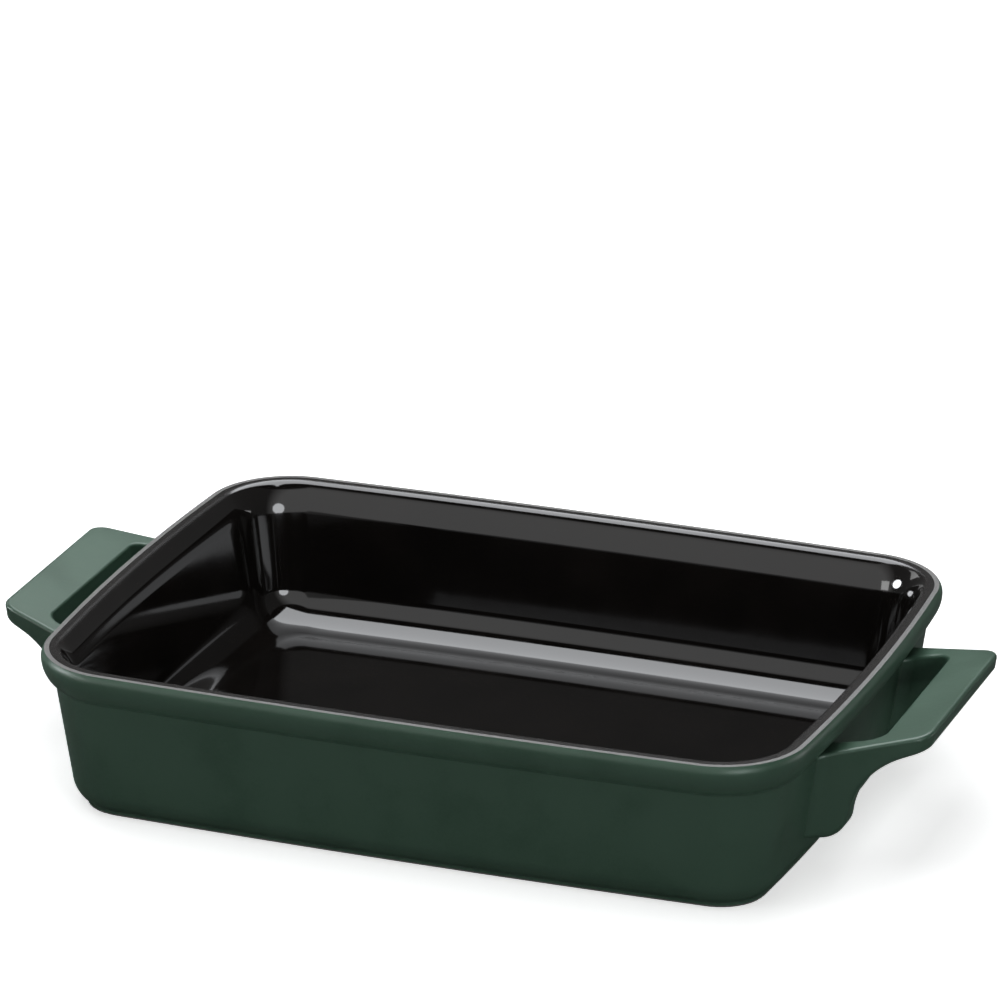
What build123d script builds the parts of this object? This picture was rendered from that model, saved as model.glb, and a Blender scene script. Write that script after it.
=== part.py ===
from build123d import *
import math
import os

os.makedirs("parts", exist_ok=True)

# A glazed ceramic lasagna dish: an open, bowed rectangular dish with a rounded
# collar under its bare rim, a low foot ring and a slotted handle on each end.
# Origin at the middle of the foot's resting plane, +X along the dish, +Z up.
# Points of the wall's section are (inset, height): inset runs inwards from the
# widest outline. Points of the handle's side view are (x, height).

# Overall dish, in millimetres and degrees
dish_length = 342.8
dish_width = 254.0
dish_height = 69.5
end_bow = 6.6
side_bow = 3.8
corner_radius = 38.0

# Collar and rim
rim_edge_inset = 1.4
rim_edge_height = 3.5
rim_band_width = 4.3
collar_height = 14.7
collar_step = 5.8
collar_crease_radius = 1.2

# Outer wall and foot ring
wall_draft = 8.5
haunch_radius = 14.0
haunch_end_angle = 53.0
foot_height = 2.3
foot_setback = 0.6
foot_width = 7.0
foot_edge_radius = 0.5

# Cavity
lip_radius = 3.0
flare_start_angle = 24.0
flare_depth = 22.0
cavity_draft = 9.0
upper_cove_radius = 30.0
lower_cove_radius = 12.0
cove_change_angle = 40.0
floor_thickness = 6.0
floor_land = 1.0

# Glaze coats
glaze_thickness = 0.5
foot_bare_height = 0.8

# Handles
handle_reach = 36.0
handle_tip_drop = 5.3
handle_tilt = 12.6
handle_tip_thickness = 6.8
handle_tip_half_width = 49.6
handle_arm_half_width = 62.6
handle_corner_radius = 9.0
underside_slope = 20.5
underside_flat_length = 12.2
underside_cove_radius = 33.0
lobe_radius = 11.0
lobe_depth = 53.2
arm_flare_radius = 9.0
slot_half_length = 48.5
slot_corner_radius = 8.0
grip_width = 19.8
top_edge_radius = 1.5
under_edge_radius = 2.0
root_depth = 5.0
root_slant = 15.0

# How far trimming shapes run past what they trim, and how near counts as at
overrun = 2.0
match_tolerance = 0.001
half_way_share = 0.5


def arc_radius(half_chord, bow):
    """Radius of an arc that rises by bow over half_chord."""
    return (half_chord ** 2 + bow ** 2) / (2 * bow)


def corners_at(face, places):
    """The corners of a face that lie at the given places."""
    chosen = []
    for corner in face.vertices():
        gaps = [(corner.center() - place).length for place in places]
        if min(gaps) < match_tolerance:
            chosen.append(corner)
    return chosen


# The outline is two long arcs, two end arcs and four corner arcs, all tangent
side_radius = arc_radius(dish_length / 2, side_bow)
end_radius = arc_radius(dish_width / 2, end_bow)
side_centre = side_radius - dish_width / 2
end_centre = end_radius - dish_length / 2


def corner_centre():
    """Centre of the corner arc that is tangent to a long arc and an end arc."""
    to_side = side_radius - corner_radius
    to_end = end_radius - corner_radius
    gap = math.hypot(side_centre, end_centre)
    along = (to_side ** 2 - to_end ** 2 + gap ** 2) / (2 * gap)
    across = math.sqrt(to_side ** 2 - along ** 2)
    ux = -end_centre / gap
    uy = side_centre / gap
    return along * ux + across * uy, -side_centre + along * uy - across * ux


corner_x, corner_y = corner_centre()
side_angle = math.degrees(math.atan2(corner_x, corner_y + side_centre))
end_angle = math.degrees(math.atan2(corner_y, corner_x + end_centre))


def outline_arcs():
    """Centre x, centre y, radius, start angle and sweep of each arc, all round."""
    corner_sweep = 90 - side_angle - end_angle
    return [
        (-end_centre, 0, end_radius, -end_angle, 2 * end_angle),
        (corner_x, corner_y, corner_radius, end_angle, corner_sweep),
        (0, -side_centre, side_radius, 90 - side_angle, 2 * side_angle),
        (-corner_x, corner_y, corner_radius, 90 + side_angle, corner_sweep),
        (end_centre, 0, end_radius, 180 - end_angle, 2 * end_angle),
        (-corner_x, -corner_y, corner_radius, 180 + end_angle, corner_sweep),
        (0, side_centre, side_radius, 270 - side_angle, 2 * side_angle),
        (corner_x, -corner_y, corner_radius, 270 + side_angle, corner_sweep),
    ]


def outline_face(inset):
    """The dish's outline, drawn in by inset, as a flat face at height zero."""
    edges = []
    for x, y, radius, start, sweep in outline_arcs():
        edges.append(Edge.make_circle(radius - inset, Plane((x, y, 0)), start, start + sweep))
    return Face(Wire(edges))


def ring(section):
    """Carry a wall section once round the dish, arc by arc."""
    pieces = []
    for x, y, radius, start, sweep in outline_arcs():
        place = Location((x, y, 0), (0, 0, start))
        turned = place * Pos(radius, 0, 0) * section
        pieces.append(revolve(turned, Axis((x, y, 0), (0, 0, 1)), sweep))
    return pieces[0].fuse(*pieces[1:])


def slab(inset, low, high):
    """The middle of the dish between two heights, inside a ring."""
    return Pos(0, 0, low) * extrude(outline_face(inset), high - low)


def turned_by(point, radius, first, last, into_cavity):
    """Middle and end of an arc from point along which the wall's tilt from
    upright goes from first to last, in degrees."""
    side = -1 if into_cavity else 1

    def at(tilt):
        across = math.cos(math.radians(first)) - math.cos(math.radians(tilt))
        down = math.sin(math.radians(tilt)) - math.sin(math.radians(first))
        return point[0] + radius * across * side, point[1] - radius * down * side

    return at((first + last) / 2), at(last)


def half_way_inset(rise, inset):
    """Inset at half height of an arc that leaves the widest point upright."""
    radius = arc_radius(rise, inset)
    return radius - math.sqrt(radius ** 2 - (rise / 2) ** 2)


# Outer line of the wall, from the rim down to the foot
rim_outer = (rim_edge_inset, dish_height)
collar_widest = (0, dish_height - rim_edge_height)
shoulder_inset = half_way_inset(rim_edge_height, rim_edge_inset)
shoulder_mid = (shoulder_inset, collar_widest[1] + rim_edge_height / 2)
collar_drop = collar_height - rim_edge_height
collar_foot = (collar_step, dish_height - collar_height)
collar_mid = (half_way_inset(collar_drop, collar_step), collar_widest[1] - collar_drop / 2)

draft = math.radians(wall_draft)
haunch_drop = haunch_radius * (math.sin(math.radians(haunch_end_angle)) - math.sin(draft))
haunch_top_height = foot_height + haunch_drop
haunch_top_inset = collar_step + math.tan(draft) * (collar_foot[1] - haunch_top_height)
haunch_top = (haunch_top_inset, haunch_top_height)
haunch_mid, haunch_end = turned_by(haunch_top, haunch_radius, wall_draft, haunch_end_angle, False)
foot_outer = haunch_end[0] + foot_setback
foot_inner = foot_outer + foot_width

# Cavity line of the wall, from the rim down to the floor
lip_start = (rim_edge_inset + rim_band_width, dish_height)
lip_mid, lip_end = turned_by(lip_start, lip_radius, 90, flare_start_angle, True)
flare_drop = flare_depth - (dish_height - lip_end[1])
flare_sines = math.sin(math.radians(flare_start_angle)) - math.sin(math.radians(cavity_draft))
flare_radius = flare_drop / flare_sines
flare_mid, flare_end = turned_by(lip_end, flare_radius, flare_start_angle, cavity_draft, True)
floor_height = foot_height + floor_thickness
change_sine = math.sin(math.radians(cove_change_angle))
upper_cove_drop = upper_cove_radius * (change_sine - math.sin(math.radians(cavity_draft)))
lower_cove_drop = lower_cove_radius * (1 - change_sine)
cove_top_height = floor_height + upper_cove_drop + lower_cove_drop
cove_run = math.tan(math.radians(cavity_draft)) * (flare_end[1] - cove_top_height)
cove_top = (flare_end[0] + cove_run, cove_top_height)
cove_mid, cove_change = turned_by(cove_top, upper_cove_radius, cavity_draft, cove_change_angle, False)
cove_low, cove_end = turned_by(cove_change, lower_cove_radius, cove_change_angle, 90, False)
core_inset = cove_end[0] + floor_land
past_core = core_inset + 2 * glaze_thickness


def in_section(point):
    """A section point as a point of the upright plane that the wall is drawn in."""
    inset, height = point
    return Vector(-inset, 0, height)


def section_edge(*points):
    """A line through two section points or an arc through three."""
    placed = [in_section(point) for point in points]
    if len(placed) == 2:
        return Edge.make_line(*placed)
    return Edge.make_three_point_arc(*placed)


def wall_section():
    """The whole wall with its coats, from the rim to just past the core. The
    collar's crease is still sharp."""
    edges = [
        section_edge(rim_outer, shoulder_mid, collar_widest),
        section_edge(collar_widest, collar_mid, collar_foot),
        section_edge(collar_foot, haunch_top),
        section_edge(haunch_top, haunch_mid, haunch_end),
        section_edge(haunch_end, (foot_outer, foot_height)),
        section_edge((foot_outer, foot_height), (foot_outer, 0)),
        section_edge((foot_outer, 0), (foot_inner, 0)),
        section_edge((foot_inner, 0), (foot_inner, foot_height)),
        section_edge((foot_inner, foot_height), (past_core, foot_height)),
        section_edge((past_core, foot_height), (past_core, floor_height)),
        section_edge((past_core, floor_height), cove_end),
        section_edge(cove_end, cove_low, cove_change),
        section_edge(cove_change, cove_mid, cove_top),
        section_edge(cove_top, flare_end),
        section_edge(flare_end, flare_mid, lip_end),
        section_edge(lip_end, lip_mid, lip_start),
        section_edge(lip_start, rim_outer),
    ]
    section = Face(Wire(edges))
    foot_corners = [in_section((foot_outer, 0)), in_section((foot_inner, 0))]
    return section.fillet_2d(foot_edge_radius, corners_at(section, foot_corners))


def zone(*points):
    """A region of the section plane with straight sides."""
    return Face(Wire.make_polygon([in_section(point) for point in points], close=True))


# The coats are the skin of the section, split where the glazes stop. Glaze
# gathers in the collar's crease, so only the coat is rounded there.
sharp = wall_section()
crease = corners_at(sharp, [in_section(collar_foot)])
full = sharp.fillet_2d(collar_crease_radius, crease)
skin = full - offset(sharp, -glaze_thickness)
mid_wall = (collar_step + flare_end[0]) / 2
mid_haunch = (haunch_top_inset + cove_top[0]) / 2
mid_floor = foot_height + floor_thickness / 2
mid_foot = foot_outer + foot_width / 2
mid_band = rim_edge_inset + rim_band_width / 2
under_band = dish_height - 2 * glaze_thickness
above = dish_height + overrun

# Green coat: from the rim's outer edge down to the bare foot
wall_zone = zone(
    (-overrun, above),
    (rim_edge_inset, above),
    (rim_edge_inset, under_band),
    (mid_band, collar_widest[1]),
    (mid_wall, flare_end[1]),
    (mid_haunch, cove_top_height),
    (mid_foot, mid_floor),
    (mid_foot, foot_bare_height),
    (-overrun, foot_bare_height),
)

# Black lining: from the rim band's inner edge down over the floor
lining_zone = zone(
    (lip_start[0], above),
    (core_inset, above),
    (core_inset, mid_floor),
    (mid_foot, mid_floor),
    (mid_haunch, cove_top_height),
    (mid_wall, flare_end[1]),
    (mid_band, collar_widest[1]),
    (lip_start[0], under_band),
)

# Coat inside the foot ring
base_zone = zone(
    (mid_foot, mid_floor),
    (core_inset, mid_floor),
    (core_inset, foot_bare_height),
    (mid_foot, foot_bare_height),
)

# Everything on the ring's side of the core
ring_zone = zone(
    (-overrun, above),
    (core_inset, above),
    (core_inset, -overrun),
    (-overrun, -overrun),
)

wall_coat = skin & wall_zone
lining_coat = skin & lining_zone
base_coat = skin & base_zone
clay = (full & ring_zone) - wall_coat - lining_coat - base_coat

clay_floor = slab(core_inset, foot_height + glaze_thickness, floor_height - glaze_thickness)
lining_floor = slab(core_inset, floor_height - glaze_thickness, floor_height)
base_floor = slab(core_inset, foot_height, foot_height + glaze_thickness)
dish_body = ring(clay.face()).fuse(clay_floor)
lining_glaze = ring(lining_coat.face()).fuse(lining_floor)
base_glaze = ring(base_coat.face()).fuse(base_floor)
wall_glaze = ring(wall_coat.face())

# Handle lines, seen from the front of the dish
dish_end = dish_length / 2
tip_x = dish_end + handle_reach
past_tip = tip_x + overrun
tip_top = dish_height - handle_tip_drop
tip_bottom = tip_top - handle_tip_thickness
flat_angle = math.radians(underside_slope)
lobe_bottom = dish_height - lobe_depth
lobe_z = lobe_bottom + lobe_radius
root_x = dish_end - collar_step - math.tan(draft) * lobe_depth - 4 * root_depth


def top_height(x):
    """Height of the handle's sloping top."""
    return tip_top - math.tan(math.radians(handle_tilt)) * (tip_x - x)


def under_height(x):
    """Height of the tip's flat underside, carried on in both directions."""
    return tip_bottom - math.tan(flat_angle) * (tip_x - x)


flat_end_x = tip_x - underside_flat_length * math.cos(flat_angle)
flat_end = (flat_end_x, under_height(flat_end_x))
cove_centre_x = flat_end_x + underside_cove_radius * math.sin(flat_angle)
cove_centre_z = flat_end[1] - underside_cove_radius * math.cos(flat_angle)
cove_centre = (cove_centre_x, cove_centre_z)
both_radii = underside_cove_radius + lobe_radius
lobe_x = cove_centre_x - math.sqrt(both_radii ** 2 - (lobe_z - cove_centre_z) ** 2)
lobe_share = lobe_radius / both_radii
lobe_join_x = lobe_x + (cove_centre_x - lobe_x) * lobe_share
lobe_join = (lobe_join_x, lobe_z + (cove_centre_z - lobe_z) * lobe_share)


def in_side_view(point):
    """A point of the handle's side view as a point of the plane through y zero."""
    return Vector(point[0], 0, point[1])


def arc_middle(centre, radius, first, last):
    """Middle of the arc about centre between two of its points."""
    start = math.atan2(first[1] - centre[1], first[0] - centre[0]) % (2 * math.pi)
    end = math.atan2(last[1] - centre[1], last[0] - centre[0]) % (2 * math.pi)
    angle = (start + end) / 2
    return centre[0] + radius * math.cos(angle), centre[1] + radius * math.sin(angle)


def side_edge(*points):
    """A line through two points of the side view or an arc through three."""
    placed = [in_side_view(point) for point in points]
    if len(placed) == 2:
        return Edge.make_line(*placed)
    return Edge.make_three_point_arc(*placed)


def handle_side():
    """Side view of the handle: sloping top, flat tip, coved underside, round lobe."""
    cove_middle = arc_middle(cove_centre, underside_cove_radius, flat_end, lobe_join)
    lobe_end = (lobe_x, lobe_bottom)
    lobe_middle = arc_middle((lobe_x, lobe_z), lobe_radius, lobe_join, lobe_end)
    edges = [
        side_edge((root_x, lobe_bottom), (root_x, top_height(root_x))),
        side_edge((root_x, top_height(root_x)), (past_tip, top_height(past_tip))),
        side_edge((past_tip, top_height(past_tip)), (past_tip, under_height(past_tip))),
        side_edge((past_tip, under_height(past_tip)), flat_end),
        side_edge(flat_end, cove_middle, lobe_join),
        side_edge(lobe_join, lobe_middle, lobe_end),
        side_edge(lobe_end, (root_x, lobe_bottom)),
    ]
    return Face(Wire(edges))


def below_flat(half_width):
    """Everything below the line of the tip's flat underside."""
    low = lobe_bottom - overrun
    behind = root_x - overrun
    corners = [
        (past_tip, under_height(past_tip)),
        (behind, under_height(behind)),
        (behind, low),
        (past_tip, low),
    ]
    face = Face(Wire.make_polygon([in_side_view(corner) for corner in corners], close=True))
    return extrude(face, half_width, both=True)


# Handle lines in plan. The plan is drawn just above the tip and leans with the wall.
plan_height = tip_top + overrun
plan_depth = plan_height - lobe_bottom + 2 * overrun
wall_x = dish_end - collar_step - math.tan(draft) * (collar_foot[1] - plan_height)
front_x = tip_x + math.tan(draft) * overrun
root_back_x = wall_x - root_depth


def clay_x(half_width):
    """Where the bowed clay wall stands at this half width, under its coat."""
    bow = end_radius - math.sqrt(end_radius ** 2 - half_width ** 2)
    return wall_x - bow - glaze_thickness


def root_line(half_width, widening):
    """Where an arm's side reaches the clay, and a point deep inside the wall to
    which it then slants. Widening is 1 away from the slot and -1 towards it."""
    reach_x = clay_x(half_width)
    deep_x = reach_x - 2 * root_depth
    spread = 2 * root_depth / math.tan(math.radians(root_slant))
    return (reach_x, half_width), (deep_x, half_width + widening * spread)


def mirrored(points):
    """The same points on the other side of the handle's middle, in reverse."""
    return [(x, -y) for x, y in reversed(points)]


def leaning_prism(half_outline, rounded):
    """A plan drawn from its far corner to the middle, then mirrored, with some
    corners rounded, carried down along the wall's slope."""
    outline = half_outline + mirrored(half_outline)
    face = Face(Wire.make_polygon([Vector(x, y, plan_height) for x, y in outline], close=True))
    for corner, radius in rounded:
        places = [Vector(x, y, plan_height) for x, y in [corner] + mirrored([corner])]
        face = face.fillet_2d(radius, corners_at(face, places))
    return extrude(face, plan_depth / math.cos(draft), dir=(-math.tan(draft), 0, -1))


def handle_plan():
    """The handle from above: a tapered tongue that flares out at the wall."""
    arm_root, deep = root_line(handle_arm_half_width, 1)
    tip_corner = (front_x, handle_tip_half_width)
    rounded = [(arm_root, arm_flare_radius), (tip_corner, handle_corner_radius)]
    return leaning_prism([deep, arm_root, tip_corner], rounded)


def between_arms(end_x):
    """The space between the arms, from inside the wall out to end_x."""
    slot_root, deep = root_line(slot_half_length, -1)
    end_corner = (end_x, slot_half_length)
    rounded = [(slot_root, slot_corner_radius), (end_corner, slot_corner_radius)]
    return leaning_prism([deep, slot_root, end_corner], rounded)


def in_front_of_root_back():
    """Everything outwards of the plane where the roots stop, inside the wall."""
    wide = dish_width / 2
    return leaning_prism([(root_back_x, wide), (past_tip + overrun, wide)], [])


def runs_along(edge, direction):
    """Whether the middle of an edge runs along a direction, either way."""
    way = edge.tangent_at(half_way_share)
    return way.cross(direction.normalized()).length < match_tolerance


def is_beyond_wall(point):
    """Whether a point lies further out than the back of the handle's roots."""
    lean = math.tan(draft) * (plan_height - point.Z)
    return point.X > root_back_x - lean


def is_top_edge(edge):
    """Whether an edge lies on the sloping top, clear of the roots."""
    places = [edge.position_at(share) for share in (0, half_way_share, 1)]
    gaps = [abs(place.Z - top_height(place.X)) for place in places]
    return max(gaps) < match_tolerance and is_beyond_wall(edge.center())


def is_under_edge(edge):
    """Whether an edge lies along the outside of the arms' or the tip's underside."""
    middle = edge.center()
    at_arm = abs(middle.Y) > slot_half_length + overrun
    at_tip = middle.X > tip_x - grip_width / 4
    across = runs_along(edge, Vector(0, 1, 0)) and not at_tip
    upright = runs_along(edge, Vector(math.tan(draft), 0, 1))
    near_top = middle.Z > top_height(middle.X) - handle_tip_thickness / 2
    outside = (at_arm or at_tip) and is_beyond_wall(middle)
    return outside and not (across or upright or near_top)


def whole_handle():
    """One handle with its roots still running into the wall."""
    block = extrude(handle_side(), dish_width / 2, both=True) & handle_plan()
    slotted = block - between_arms(tip_x - grip_width)
    grip_underside = between_arms(flat_end_x) & below_flat(dish_width / 2)
    shaped = (slotted - grip_underside).solid()
    rounded = fillet(shaped.edges().filter_by(is_top_edge), top_edge_radius)
    rounded = fillet(rounded.edges().filter_by(is_under_edge), under_edge_radius)
    return rounded & in_front_of_root_back()


# The roots are scribed to the clay wall, and the coat stops at the handles
right_handle = whole_handle() - dish_body
left_handle = mirror(right_handle, Plane.YZ)
wall_glaze = wall_glaze - right_handle - left_handle

nodes = {
    "dish_body": dish_body,
    "lining_glaze": lining_glaze,
    "wall_glaze": wall_glaze,
    "base_glaze": base_glaze,
    "left_handle": left_handle,
    "right_handle": right_handle,
}
for name, shape in nodes.items():
    export_step(shape, f"parts/{name}.step")
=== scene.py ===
import math
import bpy
import numpy as np
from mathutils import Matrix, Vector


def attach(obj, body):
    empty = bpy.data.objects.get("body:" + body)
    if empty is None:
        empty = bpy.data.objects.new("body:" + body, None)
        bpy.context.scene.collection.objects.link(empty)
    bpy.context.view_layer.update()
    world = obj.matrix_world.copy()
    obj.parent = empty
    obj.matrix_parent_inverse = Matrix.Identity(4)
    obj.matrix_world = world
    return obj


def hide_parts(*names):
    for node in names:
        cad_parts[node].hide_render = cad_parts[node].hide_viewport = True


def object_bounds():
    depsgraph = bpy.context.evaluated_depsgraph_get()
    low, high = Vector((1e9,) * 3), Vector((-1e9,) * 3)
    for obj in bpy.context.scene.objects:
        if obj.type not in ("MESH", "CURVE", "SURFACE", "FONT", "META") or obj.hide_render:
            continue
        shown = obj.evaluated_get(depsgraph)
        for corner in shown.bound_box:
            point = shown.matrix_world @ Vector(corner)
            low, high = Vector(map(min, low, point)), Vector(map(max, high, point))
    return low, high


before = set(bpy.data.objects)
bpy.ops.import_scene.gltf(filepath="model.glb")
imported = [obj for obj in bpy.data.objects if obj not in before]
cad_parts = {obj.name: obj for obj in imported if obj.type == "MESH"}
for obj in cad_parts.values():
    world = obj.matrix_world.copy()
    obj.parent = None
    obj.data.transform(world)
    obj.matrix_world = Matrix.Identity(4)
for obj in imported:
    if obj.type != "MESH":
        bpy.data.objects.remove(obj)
cadLow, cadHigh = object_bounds()
print("frame loaded:", ", ".join(sorted(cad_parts)))

mm = 0.001
scene = bpy.context.scene

# The dish's outline and wall, in mm and degrees, as the construction has them
dishShape = {
    "length": 342.8, "width": 254.0, "height": 69.5,
    "endBow": 6.6, "sideBow": 3.8, "cornerRadius": 38.0,
    "rimEdgeInset": 1.4, "rimEdgeHeight": 3.5, "rimBandWidth": 4.3,
    "collarHeight": 14.7, "collarStep": 5.8, "creaseRadius": 1.2,
    "wallDraft": 8.5, "haunchRadius": 14.0, "haunchEnd": 53.0,
    "footHeight": 2.3, "footSetback": 0.6, "footBare": 0.8,
    "floorHeight": 8.3, "coat": 0.5,
    "creaseRoomShare": 1.2,  # where the runs beside the rounded crease stop, in its reach
}

# Points in each run of the two section lines
runCounts = {
    "shoulder": 10, "collar": 26, "crease": 9, "wall": 10, "haunch": 24, "footStep": 3, "foot": 4,
    "lap": 7, "lip": 22, "flare": 24, "cavityWall": 8, "cove": 44, "land": 2,
}


# Outline: eight tangent arcs, each a centre, a radius and a run of angles

# Radius of an arc from half its chord and its height: their squares' sum over twice the height
def bowRadius(halfChord, bow):
    return (halfChord ** 2 + bow ** 2) / (2 * bow)


# The outline drawn in by inset: bows about their own centres, and corner arcs of
# the given radius that touch both bows.
def outlineArcs(shape, inset, corner):
    sideFull = bowRadius(shape["length"] / 2, shape["sideBow"])
    endFull = bowRadius(shape["width"] / 2, shape["endBow"])
    sideCentre = sideFull - shape["width"] / 2
    endCentre = endFull - shape["length"] / 2
    corner = shape["cornerRadius"] - inset if corner is None else corner
    sideRadius, endRadius = sideFull - inset, endFull - inset
    toSide, toEnd = sideRadius - corner, endRadius - corner
    gap = math.hypot(sideCentre, endCentre)
    along = (toSide ** 2 - toEnd ** 2 + gap ** 2) / (2 * gap)
    across = math.sqrt(toSide ** 2 - along ** 2)
    ux, uy = -endCentre / gap, sideCentre / gap
    cornerX = along * ux + across * uy
    cornerY = -sideCentre + along * uy - across * ux
    sideAngle = math.atan2(cornerX, cornerY + sideCentre)
    endAngle = math.atan2(cornerY, cornerX + endCentre)
    sweep = math.pi / 2 - sideAngle - endAngle
    quarter = math.pi / 2
    return [
        (-endCentre, 0, endRadius, -endAngle, 2 * endAngle),
        (cornerX, cornerY, corner, endAngle, sweep),
        (0, -sideCentre, sideRadius, quarter - sideAngle, 2 * sideAngle),
        (-cornerX, cornerY, corner, quarter + sideAngle, sweep),
        (endCentre, 0, endRadius, 2 * quarter - endAngle, 2 * endAngle),
        (-cornerX, -cornerY, corner, 2 * quarter + endAngle, sweep),
        (0, sideCentre, sideRadius, 3 * quarter - sideAngle, 2 * sideAngle),
        (cornerX, -cornerY, corner, 3 * quarter + sideAngle, sweep),
    ]


# One closed ring of points: the angle runs evenly along each of the eight arcs.
def ringAt(shape, parts, inset, height, corner=None):
    rows = []
    for place, (x, y, radius, start, sweep) in enumerate(outlineArcs(shape, inset, corner)):
        count = parts["cornerCount"] if place % 2 else parts["longCount"]
        angle = start + sweep * np.arange(count) / count
        flat = [x + radius * np.cos(angle), y + radius * np.sin(angle), np.full(count, height)]
        rows.append(np.stack(flat, 1))
    return np.concatenate(rows)


# Section lines, as (inset, height) rows from the rim downwards

# Arc along which the wall's tilt from upright goes from first to last: the inset
# changes by radius times the difference of cosines, the height by that of sines.
def tiltArc(start, radius, first, last, intoCavity, count):
    side = -1 if intoCavity else 1
    tilt = np.radians(np.linspace(first, last, count))
    across = math.cos(math.radians(first)) - np.cos(tilt)
    down = np.sin(tilt) - math.sin(math.radians(first))
    return np.stack([start[0] + side * radius * across, start[1] - side * radius * down], 1)


# Points spaced evenly from start to end
def straight(start, end, count):
    return np.linspace(start, end, count)


# Runs end to end, each without the point that it shares with the one before.
def joined(*runs):
    return np.concatenate([runs[0]] + [run[1:] for run in runs[1:]])


# The line moved sideways into the clay: along its tangent turned a quarter, to the
# inset side of a line that runs down an outer wall.
def pushedIn(line, distance):
    way = np.gradient(line, axis=0)
    way /= np.linalg.norm(way, axis=1)[:, None]
    return line + distance * np.stack([-way[:, 1], way[:, 0]], 1)


# Lap over the rim band, lip, flare, drafted wall and cove, then a short flat land.
def cavityLine(shape, cavity):
    start = (shape["rimEdgeInset"] + shape["rimBandWidth"], shape["height"] + cavity["lapRise"])
    draft = cavity["draft"]
    lap = straight((start[0] - cavity["lap"], start[1]), start, runCounts["lap"])
    lipEnd = cavity["lipEnd"]
    lip = tiltArc(start, cavity["lipRadius"], 90, lipEnd, True, runCounts["lip"])
    flare = tiltArc(lip[-1], cavity["flareRadius"], lipEnd, draft, True, runCounts["flare"])
    top = shape["floorHeight"] + cavity["coveRadius"] * (1 - math.sin(math.radians(draft)))
    run = math.tan(math.radians(draft)) * (flare[-1, 1] - top)
    wall = straight(flare[-1], (flare[-1, 0] + run, top), runCounts["cavityWall"])
    cove = tiltArc(wall[-1], cavity["coveRadius"], draft, 90, False, runCounts["cove"])
    landEnd = (cove[-1, 0] + cavity["land"], shape["floorHeight"])
    land = straight(cove[-1], landEnd, runCounts["land"])
    return joined(lap, lip, flare, wall, cove, land)


# Arc of the collar that leaves the widest point upright and ends at inset.
def halfArc(rise, inset, height, upwards, count):
    radius = bowRadius(rise, inset)
    climb = np.linspace(0, rise, count)
    reach = radius - np.sqrt(radius ** 2 - climb ** 2)
    side = 1 if upwards else -1
    return np.stack([reach, height + side * climb], 1)


# Shoulder, collar, rounded crease, drafted wall, haunch and foot, from the rim down.
def outerLine(shape):
    widest = shape["height"] - shape["rimEdgeHeight"]
    collarDrop = shape["collarHeight"] - shape["rimEdgeHeight"]
    shoulder = halfArc(shape["rimEdgeHeight"], shape["rimEdgeInset"], widest, True, runCounts["shoulder"])
    collar = halfArc(collarDrop, shape["collarStep"], widest, False, runCounts["collar"])
    draft = math.radians(shape["wallDraft"])
    haunchSines = math.sin(math.radians(shape["haunchEnd"])) - math.sin(draft)
    haunchTop = shape["footHeight"] + shape["haunchRadius"] * haunchSines
    creaseHeight = shape["height"] - shape["collarHeight"]
    haunchInset = shape["collarStep"] + math.tan(draft) * (creaseHeight - haunchTop)
    wallTop = (shape["collarStep"], creaseHeight)
    wall = straight(wallTop, (haunchInset, haunchTop), runCounts["wall"])
    tilts = shape["wallDraft"], shape["haunchEnd"]
    haunch = tiltArc(wall[-1], shape["haunchRadius"], *tilts, False, runCounts["haunch"])
    footTop = (haunch[-1, 0] + shape["footSetback"], shape["footHeight"])
    step = straight(haunch[-1], footTop, runCounts["footStep"])
    foot = straight(footTop, (footTop[0], shape["footBare"]), runCounts["foot"])
    room = shape["creaseRoomShare"]
    rounded = roundedCorner(collar, wall, shape["creaseRadius"], room, runCounts["crease"])
    return joined(shoulder[::-1], rounded, haunch, step, foot)


# Two runs that meet at a corner, joined by an arc that is tangent to both.
def roundedCorner(before, after, radius, room, count):
    corner = before[-1]
    back = before[-2] - corner
    ahead = after[1] - corner
    back, ahead = back / np.linalg.norm(back), ahead / np.linalg.norm(ahead)
    half = math.acos(float(back @ ahead)) / 2
    reach = radius / math.tan(half)
    middle = (back + ahead) / np.linalg.norm(back + ahead)
    centre = corner + middle * radius / math.sin(half)
    first, last = corner + back * reach - centre, corner + ahead * reach - centre
    start, end = math.atan2(first[1], first[0]), math.atan2(last[1], last[0])
    end += 2 * math.pi * round((start - end) / (2 * math.pi))
    angle = np.linspace(start, end, count)
    arc = centre + radius * np.stack([np.cos(angle), np.sin(angle)], 1)
    kept = before[np.linalg.norm(before - corner, axis=1) > reach * room]
    rest = after[np.linalg.norm(after - corner, axis=1) > reach * room]
    return np.concatenate([kept, arc, rest])


# Meshes

# Quads of a grid whose columns close on themselves, and its rows too if asked.
def ringFaces(rows, columns, closedRows=False):
    last = rows if closedRows else rows - 1
    row, column = np.meshgrid(np.arange(last), np.arange(columns), indexing="ij")
    below, beside = (row + 1) % rows, (column + 1) % columns
    upper = [row * columns + column, row * columns + beside]
    lower = [below * columns + beside, below * columns + column]
    return np.stack(upper + lower, -1).reshape(-1, 4)


# Triangles from one ring of points to its pole.
def fanFaces(start, columns, pole, flipped):
    column = np.arange(columns)
    beside = (column + 1) % columns
    rim = [start + beside, start + column] if flipped else [start + column, start + beside]
    return np.stack(rim + [np.full(columns, pole)], -1)


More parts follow.
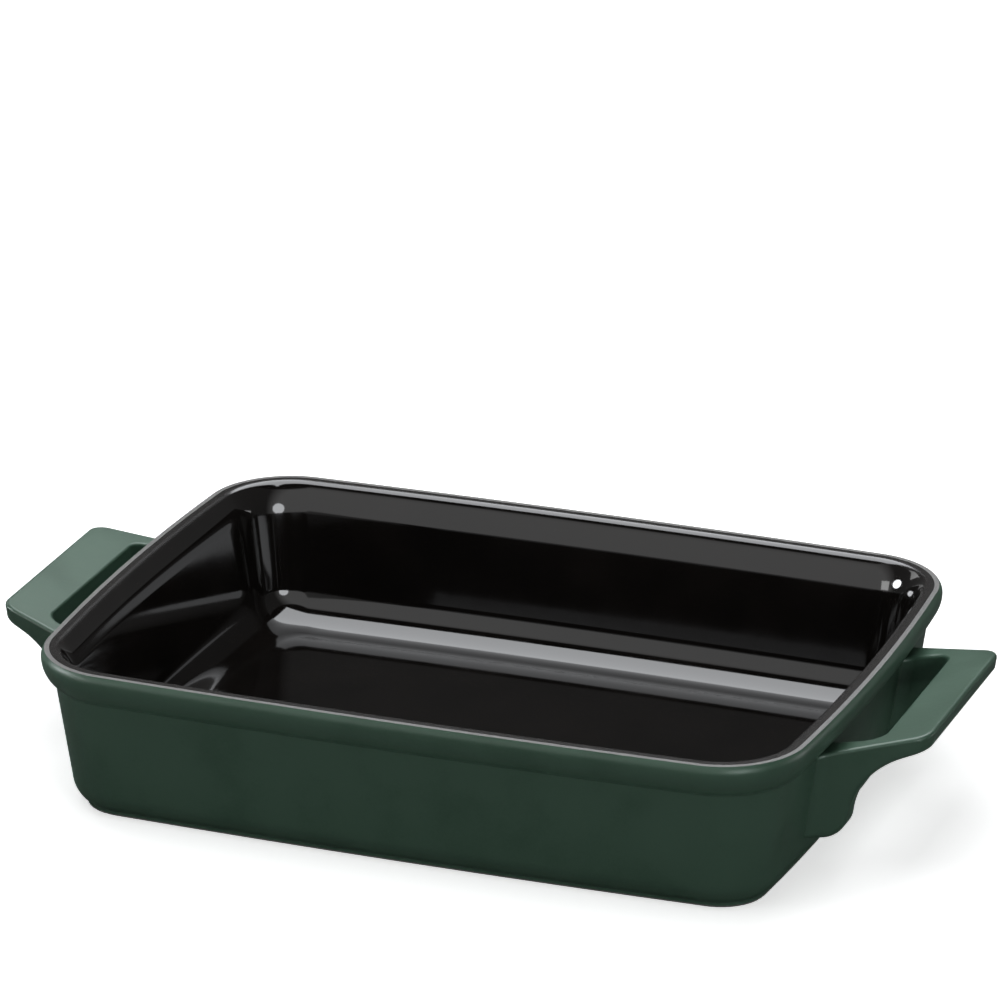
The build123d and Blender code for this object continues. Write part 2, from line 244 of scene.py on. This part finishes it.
# Smooth but for edges sharper than an angle in degrees
def meshPiece(name, points, faces, replaced, sharpAngle=35):
    mesh = bpy.data.meshes.new(name)
    mesh.from_pydata((points * mm).tolist(), [], [face for group in faces for face in group.tolist()])
    mesh.validate()
    mesh.polygons.foreach_set("use_smooth", np.ones(len(mesh.polygons), bool))
    mesh.set_sharp_from_angle(angle=math.radians(sharpAngle))
    mesh.update()
    piece = bpy.data.objects.new(name, mesh)
    scene.collection.objects.link(piece)
    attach(piece, "root")
    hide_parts(replaced)
    print("made", name, "with", len(mesh.polygons), "faces")
    return piece


# Black lining: a coat over the whole cavity, closed at the rim and over the floor
cavityParts = {
    "lipRadius": 3.5, "lipEnd": 40.0, "flareRadius": 25.5, "draft": 10.5,
    "coveRadius": 19.0, "land": 1.0, "floorCorner": 9.0,
    "longCount": 46, "cornerCount": 34, "floorRings": 14, "backStep": 3,
    "lap": 2.2, "lapRise": 0.05,
}


# Plan radius of the cavity's corners: over the lap it shrinks one for one with the
# inset, then ever more slowly, along a parabola, towards the floor's own radius.
def cavityCorner(inset):
    start = dishShape["rimEdgeInset"] + dishShape["rimBandWidth"]
    fall = dishShape["cornerRadius"] - start - cavityParts["floorCorner"]
    share = 1 - max(inset - start, 0) / (2 * fall)
    return cavityParts["floorCorner"] + fall * share ** 2 + max(start - inset, 0)


# The cavity line carried round, then rings shrunk evenly to the floor's middle, and
# the same again one coat deeper; the two meet in a narrow ring at the rim band.
def liningPiece():
    line = cavityLine(dishShape, cavityParts)
    deep = pushedIn(line, -dishShape["coat"])
    deep[0] = (line[0, 0], line[0, 1] - dishShape["coat"])
    deep[-1, 1] = line[-1, 1] - dishShape["coat"]
    deep = np.concatenate([deep[:-1:cavityParts["backStep"]], deep[-1:]])
    shares = 1 - np.arange(1, cavityParts["floorRings"]) / cavityParts["floorRings"]

    def withFloor(section):
        rings = [ringAt(dishShape, cavityParts, *point, cavityCorner(point[0])) for point in section]
        wall = np.stack(rings)
        floor = wall[-1][None] * np.array([1, 1, 0]) * shares[:, None, None]
        floor[..., 2] = section[-1, 1]
        return np.concatenate([wall, floor])

    front, back = withFloor(line), withFloor(deep)
    columns = front.shape[1]
    frontCount, backCount = front.shape[0] * columns, back.shape[0] * columns
    points = np.concatenate([front.reshape(-1, 3), back.reshape(-1, 3)])
    poles = np.array([[0, 0, line[-1, 1]], [0, 0, deep[-1, 1]]])
    points = np.concatenate([points, poles])
    column = np.arange(columns)
    beside = (column + 1) % columns
    faces = [
        ringFaces(front.shape[0], columns),
        ringFaces(back.shape[0], columns)[:, ::-1] + frontCount,
        fanFaces(frontCount - columns, columns, frontCount + backCount, False),
        fanFaces(frontCount + backCount - columns, columns, frontCount + backCount + 1, True),
        np.stack([column, frontCount + column, frontCount + beside, beside], -1),
    ]
    return meshPiece("lining", points, faces, "lining_glaze")


# Green coat: from the rim's outer edge to just above the bare foot
coatParts = {"longCount": 46, "cornerCount": 34, "backStep": 3}


# The outer line carried round and back again one coat deeper, as one closed ring.
def coatPiece():
    line = outerLine(dishShape)
    coat = dishShape["coat"]
    deep = pushedIn(line, coat)
    upTo = line[:, 1] > dishShape["footHeight"] + coat
    deep = deep[upTo][::coatParts["backStep"]]
    deep[0] = (line[0, 0], line[0, 1] - coat)
    corner = (line[-1, 0] + coat, dishShape["footHeight"] + coat)
    end = (line[-1, 0] + coat, line[-1, 1])
    section = np.concatenate([line, [end, corner], deep[::-1]])
    rings = np.stack([ringAt(dishShape, coatParts, *point) for point in section])
    faces = ringFaces(rings.shape[0], rings.shape[1], closedRows=True)[:, ::-1]
    return meshPiece("wallCoat", rings.reshape(-1, 3), [faces], "wall_glaze")


lining = liningPiece()
wallCoat = coatPiece()


# Finishes

def newMaterial(name):
    material = bpy.data.materials.new(name)
    material.use_nodes = True
    nodes = material.node_tree.nodes
    return material, nodes, material.node_tree.links, nodes["Principled BSDF"]


def noiseOf(nodes, links, place, scale, detail, roughness=0.5):
    noise = nodes.new("ShaderNodeTexNoise")
    noise.inputs["Scale"].default_value = scale
    noise.inputs["Detail"].default_value = detail
    noise.inputs["Roughness"].default_value = roughness
    links.new(place.outputs["Object"], noise.inputs["Vector"])
    return noise.outputs["Fac"]


noiseRange = {"low": 0.3, "high": 0.7}  # where most of a noise's values lie


# A noise brought from its middle range to run from low to high.
def spread(nodes, links, value, low, high):
    change = nodes.new("ShaderNodeMapRange")
    change.inputs["From Min"].default_value = noiseRange["low"]
    change.inputs["From Max"].default_value = noiseRange["high"]
    change.inputs["To Min"].default_value = low
    change.inputs["To Max"].default_value = high
    links.new(value, change.inputs["Value"])
    return change.outputs["Result"]


def tinted(nodes, links, value, dark, light):
    mix = nodes.new("ShaderNodeMix")
    mix.data_type = "RGBA"
    mix.inputs["A"].default_value = (*dark, 1)
    mix.inputs["B"].default_value = (*light, 1)
    links.new(value, mix.inputs["Factor"])
    return mix.outputs["Result"]


def bumped(nodes, links, value, distance, under=None):
    bump = nodes.new("ShaderNodeBump")
    bump.inputs["Strength"].default_value = 1.0
    bump.inputs["Distance"].default_value = distance
    links.new(value, bump.inputs["Height"])
    if under is not None:
        links.new(under, bump.inputs["Normal"])
    return bump.outputs["Normal"]


# Satin green: broad patches and fine grain in its tone, over a faint orange peel
greenFinish = {
    "dark": (0.026, 0.056, 0.037), "light": (0.037, 0.073, 0.050),
    "patchScale": 38, "patchDetail": 5, "grainScale": 900, "grainDetail": 2,
    "peelScale": 320, "peelDetail": 2, "grainShare": 0.35,
    "roughLow": 0.34, "roughHigh": 0.44, "specular": 0.38,
    "grainDepth": 0.00001, "peelDepth": 0.00003,
}


def greenGlaze():
    material, nodes, links, shader = newMaterial("satinGreen")
    place = nodes.new("ShaderNodeTexCoord")
    patches = noiseOf(nodes, links, place, greenFinish["patchScale"], greenFinish["patchDetail"])
    grain = noiseOf(nodes, links, place, greenFinish["grainScale"], greenFinish["grainDetail"])
    peel = noiseOf(nodes, links, place, greenFinish["peelScale"], greenFinish["peelDetail"])
    mixed = nodes.new("ShaderNodeMath")
    mixed.operation = "MULTIPLY_ADD"
    links.new(grain, mixed.inputs[0])
    mixed.inputs[1].default_value = greenFinish["grainShare"]
    links.new(patches, mixed.inputs[2])
    tone = spread(nodes, links, mixed.outputs[0], 0.0, 1.0)
    shade = tinted(nodes, links, tone, greenFinish["dark"], greenFinish["light"])
    links.new(shade, shader.inputs["Base Color"])
    rough = spread(nodes, links, patches, greenFinish["roughLow"], greenFinish["roughHigh"])
    links.new(rough, shader.inputs["Roughness"])
    shader.inputs["Specular IOR Level"].default_value = greenFinish["specular"]
    under = bumped(nodes, links, peel, greenFinish["peelDepth"])
    links.new(bumped(nodes, links, grain, greenFinish["grainDepth"], under), shader.inputs["Normal"])
    return material


# Gloss black: slightly wavy, and duller by its height near the lip and on the lap
blackFinish = {
    "dark": (0.0036, 0.0031, 0.0028), "light": (0.0060, 0.0050, 0.0045),
    "patchScale": 30, "patchDetail": 4, "waveScale": 60, "waveDetail": 1,
    "roughLow": 0.045, "roughHigh": 0.085,
    "waveDepth": 0.00002, "lipDepth": 0.0022, "lipRoughness": 0.22,
}


def blackGlaze():
    material, nodes, links, shader = newMaterial("glossBlack")
    place = nodes.new("ShaderNodeTexCoord")
    patches = noiseOf(nodes, links, place, blackFinish["patchScale"], blackFinish["patchDetail"])
    waves = noiseOf(nodes, links, place, blackFinish["waveScale"], blackFinish["waveDetail"])
    tone = spread(nodes, links, patches, 0.0, 1.0)
    shade = tinted(nodes, links, tone, blackFinish["dark"], blackFinish["light"])
    links.new(shade, shader.inputs["Base Color"])
    rough = spread(nodes, links, patches, blackFinish["roughLow"], blackFinish["roughHigh"])
    parts = nodes.new("ShaderNodeSeparateXYZ")
    links.new(place.outputs["Object"], parts.inputs["Vector"])
    nearLip = nodes.new("ShaderNodeMapRange")
    nearLip.inputs["From Min"].default_value = cadHigh[2] - blackFinish["lipDepth"]
    nearLip.inputs["From Max"].default_value = cadHigh[2]
    nearLip.inputs["To Max"].default_value = blackFinish["lipRoughness"]
    links.new(parts.outputs["Z"], nearLip.inputs["Value"])
    higher = nodes.new("ShaderNodeMath")
    higher.operation = "MAXIMUM"
    links.new(rough, higher.inputs[0])
    links.new(nearLip.outputs["Result"], higher.inputs[1])
    links.new(higher.outputs[0], shader.inputs["Roughness"])
    links.new(bumped(nodes, links, waves, blackFinish["waveDepth"]), shader.inputs["Normal"])
    return material


# Bare clay: grey, with a fine grain
clayFinish = {
    "dark": (0.060, 0.059, 0.058), "light": (0.125, 0.123, 0.120),
    "grainScale": 1400, "grainDetail": 3, "grainRoughness": 0.65, "patchScale": 90,
    "patchDetail": 4, "patchShare": 0.3, "roughness": 0.55, "grainDepth": 0.00006,
}


def bareClay():
    material, nodes, links, shader = newMaterial("bareClay")
    place = nodes.new("ShaderNodeTexCoord")
    patches = noiseOf(nodes, links, place, clayFinish["patchScale"], clayFinish["patchDetail"])
    grainParts = clayFinish["grainScale"], clayFinish["grainDetail"], clayFinish["grainRoughness"]
    grain = noiseOf(nodes, links, place, *grainParts)
    mixed = nodes.new("ShaderNodeMath")
    mixed.operation = "MULTIPLY_ADD"
    links.new(patches, mixed.inputs[0])
    mixed.inputs[1].default_value = clayFinish["patchShare"]
    links.new(grain, mixed.inputs[2])
    tone = spread(nodes, links, mixed.outputs[0], 0.0, 1.0)
    shade = tinted(nodes, links, tone, clayFinish["dark"], clayFinish["light"])
    links.new(shade, shader.inputs["Base Color"])
    shader.inputs["Roughness"].default_value = clayFinish["roughness"]
    links.new(bumped(nodes, links, grain, clayFinish["grainDepth"]), shader.inputs["Normal"])
    return material


def dress(piece, material):
    piece.data.materials.clear()
    piece.data.materials.append(material)


green = greenGlaze()
dress(wallCoat, green)
dress(lining, blackGlaze())
dress(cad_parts["dish_body"], bareClay())
for name in ("base_glaze", "left_handle", "right_handle"):
    dress(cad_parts[name], green)
print("finishes set")


# Stage: pale floor, soft lamps, camera
stageParts = {
    "floorSize": 14.0, "floorBounce": (0.42, 0.42, 0.42), "floorGloss": (0.12, 0.12, 0.12),
    "worldDiffuse": 0.17, "worldCamera": 1.0,
    "floorRoughness": 0.9, "wallShine": 1.25, "wallTop": 49.0, "wallBlur": 0.01, "aboveShine": 0.02,
    "sideFrom": -0.35, "frontFrom": -0.65, "frontShine": 1.0, "sideShine": 0.12, "glow": 0.55,
}


def floorPiece():
    half = stageParts["floorSize"] / 2
    mesh = bpy.data.meshes.new("floor")
    corners = [(-half, -half, 0), (half, -half, 0), (half, half, 0), (-half, half, 0)]
    mesh.from_pydata(corners, [], [(0, 1, 2, 3)])
    floor = bpy.data.objects.new("floor", mesh)
    scene.collection.objects.link(floor)
    material, nodes, links, shader = newMaterial("paleFloor")
    shader.inputs["Roughness"].default_value = stageParts["floorRoughness"]
    shader.inputs["Specular IOR Level"].default_value = 0.0
    path = nodes.new("ShaderNodeLightPath")
    isGlossy = path.outputs["Is Glossy Ray"]
    inGloss = tinted(nodes, links, isGlossy, stageParts["floorBounce"], stageParts["floorGloss"])
    seen = nodes.new("ShaderNodeMix")
    seen.data_type = "RGBA"
    seen.inputs["B"].default_value = (1, 1, 1, 1)
    links.new(inGloss, seen.inputs["A"])
    links.new(path.outputs["Is Camera Ray"], seen.inputs["Factor"])
    links.new(seen.outputs["Result"], shader.inputs["Base Color"])
    glow = nodes.new("ShaderNodeMath")
    glow.operation = "MULTIPLY"
    links.new(path.outputs["Is Camera Ray"], glow.inputs[0])
    glow.inputs[1].default_value = stageParts["glow"]
    shader.inputs["Emission Color"].default_value = (1, 1, 1, 1)
    links.new(glow.outputs[0], shader.inputs["Emission Strength"])
    mesh.materials.append(material)


# White to the camera, a lit studio wall below a height to glossy rays, dim to the rest.
def studioWorld():
    world = bpy.data.worlds.new("studio")
    scene.world = world
    world.use_nodes = True
    nodes, links = world.node_tree.nodes, world.node_tree.links
    background = nodes["Background"]
    path = nodes.new("ShaderNodeLightPath")
    place = nodes.new("ShaderNodeTexCoord")
    parts = nodes.new("ShaderNodeSeparateXYZ")
    links.new(place.outputs["Generated"], parts.inputs["Vector"])
    wall = nodes.new("ShaderNodeMapRange")
    top = math.sin(math.radians(stageParts["wallTop"]))
    wall.inputs["From Min"].default_value = top + stageParts["wallBlur"]
    wall.inputs["From Max"].default_value = top - stageParts["wallBlur"]
    wall.inputs["To Min"].default_value = stageParts["aboveShine"]
    wall.inputs["To Max"].default_value = stageParts["wallShine"]
    links.new(parts.outputs["Z"], wall.inputs["Value"])
    ahead = nodes.new("ShaderNodeMapRange")
    ahead.inputs["From Min"].default_value = stageParts["sideFrom"]
    ahead.inputs["From Max"].default_value = stageParts["frontFrom"]
    ahead.inputs["To Min"].default_value = stageParts["sideShine"]
    ahead.inputs["To Max"].default_value = stageParts["frontShine"]
    links.new(parts.outputs["Y"], ahead.inputs["Value"])
    lit = nodes.new("ShaderNodeMath")
    lit.operation = "MULTIPLY"
    links.new(wall.outputs["Result"], lit.inputs[0])
    links.new(ahead.outputs["Result"], lit.inputs[1])

    def chosen(switch, no, yes):
        mix = nodes.new("ShaderNodeMix")
        mix.data_type = "FLOAT"
        links.new(switch, mix.inputs["Factor"])
        for socket, value in (("A", no), ("B", yes)):
            if isinstance(value, float):
                mix.inputs[socket].default_value = value
            else:
                links.new(value, mix.inputs[socket])
        return mix.outputs["Result"]

    glossy = chosen(path.outputs["Is Glossy Ray"], stageParts["worldDiffuse"], lit.outputs[0])
    strength = chosen(path.outputs["Is Camera Ray"], glossy, stageParts["worldCamera"])
    links.new(strength, background.inputs["Strength"])
    background.inputs["Color"].default_value = (1, 1, 1, 1)


lamps = {
    # name: place, aim, width, depth, radiance, colour, whether it shows in gloss
    "overheadGlow": ((-0.10, 0.14, 1.10), (-0.10, 0.14, 0.0), 1.0, 1.46, 2.3, (0.97, 0.99, 1.0), False),
    "frontRight": ((1.00, -1.08, 0.42), (0.0, 0.0, 0.05), 0.24, 0.30, 20.0, (1, 1, 1), False),
    "farRight": ((1.60, 0.95, 0.20), (-0.1, 0.0, 0.05), 0.9, 0.34, 4.0, (1, 1, 1), True),
    "frontLeft": ((-1.20, -1.10, 0.42), (0.0, 0.0, 0.05), 0.5, 0.5, 5.0, (1, 1, 1), True),
    "backLeft": ((-1.15, 0.55, 0.75), (-0.1, 0.0, 0.05), 0.5, 0.5, 2.5, (1, 1, 1), True),
}


# An area lamp whose face has the given radiance: its power is pi times area times radiance.
def lampPiece(name, place, aim, width, depth, radiance, colour, inGloss):
    light = bpy.data.lights.new(name, "AREA")
    light.shape = "RECTANGLE"
    light.size, light.size_y = width, depth
    light.energy = math.pi * width * depth * radiance
    light.color = colour
    lamp = bpy.data.objects.new(name, light)
    scene.collection.objects.link(lamp)
    back = np.array(place) - np.array(aim)
    lamp.location = place
    tilt = math.atan2(math.hypot(back[0], back[1]), back[2])
    lamp.rotation_euler = (tilt, 0, math.atan2(back[0], -back[1]))
    lamp.visible_glossy = inGloss


cardFace = {"tint": (0.95, 0.97, 1.0, 1), "roundCount": 40}

# Soft light as gloss shows it: cards that only glossy rays see
glossCards = {
    # name: middle, half an edge, half the other edge, radiance, whether it is round
    "softbox": ((-0.10, 0.455, 1.12), (0.52, 0.0, 0.0), (0.0, 0.845, 0.0), 7.5, False),
    "rightKey": ((1.00, -1.08, 0.42), (0.25, 0.22, 0.0), (0.09, -0.09, 0.35), 10.0, True),
    "leftKey": ((-1.45, -0.38, 0.50), (0.07, -0.26, 0.0), (-0.08, -0.02, 0.22), 30.0, True),
}


# Middle, plus one half edge by the cosine and the other by the sine if the card is round
def glossCard(name, middle, across, along, radiance, isRound):
    places = np.array([(-1, -1), (1, -1), (1, 1), (-1, 1)])
    if isRound:
        angle = np.linspace(0, 2 * math.pi, cardFace["roundCount"], endpoint=False)
        places = np.stack([np.cos(angle), np.sin(angle)], 1)
    points = np.array(middle) + places @ np.array([across, along])
    mesh = bpy.data.meshes.new(name)
    mesh.from_pydata(points.tolist(), [], [tuple(range(len(points)))])
    card = bpy.data.objects.new(name, mesh)
    scene.collection.objects.link(card)
    material, nodes, links, shader = newMaterial(name + "Face")
    glow, clear = nodes.new("ShaderNodeEmission"), nodes.new("ShaderNodeBsdfTransparent")
    glow.inputs["Color"].default_value = cardFace["tint"]
    glow.inputs["Strength"].default_value = radiance
    mix, path = nodes.new("ShaderNodeMixShader"), nodes.new("ShaderNodeLightPath")
    links.new(path.outputs["Is Glossy Ray"], mix.inputs["Fac"])
    links.new(clear.outputs["BSDF"], mix.inputs[1])
    links.new(glow.outputs["Emission"], mix.inputs[2])
    links.new(mix.outputs["Shader"], nodes["Material Output"].inputs["Surface"])
    nodes.remove(shader)
    material.cycles.emission_sampling = "NONE"
    mesh.materials.append(material)
    card.visible_camera = card.visible_diffuse = card.visible_shadow = False


cameraParts = {
    "place": (0.9759, -2.5951, 1.1909), "tilt": 68.90, "turn": 20.58,
    "lens": 254.9, "sensor": 36.0, "farLimit": 50,
}


def cameraPiece():
    data = bpy.data.cameras.new("camera")
    data.lens, data.sensor_width = cameraParts["lens"], cameraParts["sensor"]
    data.clip_end = cameraParts["farLimit"]
    camera = bpy.data.objects.new("camera", data)
    scene.collection.objects.link(camera)
    camera.location = cameraParts["place"]
    camera.rotation_euler = (math.radians(cameraParts["tilt"]), 0, math.radians(cameraParts["turn"]))
    scene.camera = camera


floorPiece()
studioWorld()
for cardName, cardValues in glossCards.items():
    glossCard(cardName, *cardValues)
for lampName, lampValues in lamps.items():
    lampPiece(lampName, *lampValues)
cameraPiece()
scene.view_settings.view_transform = "Standard"
print("stage, lamps and camera set")
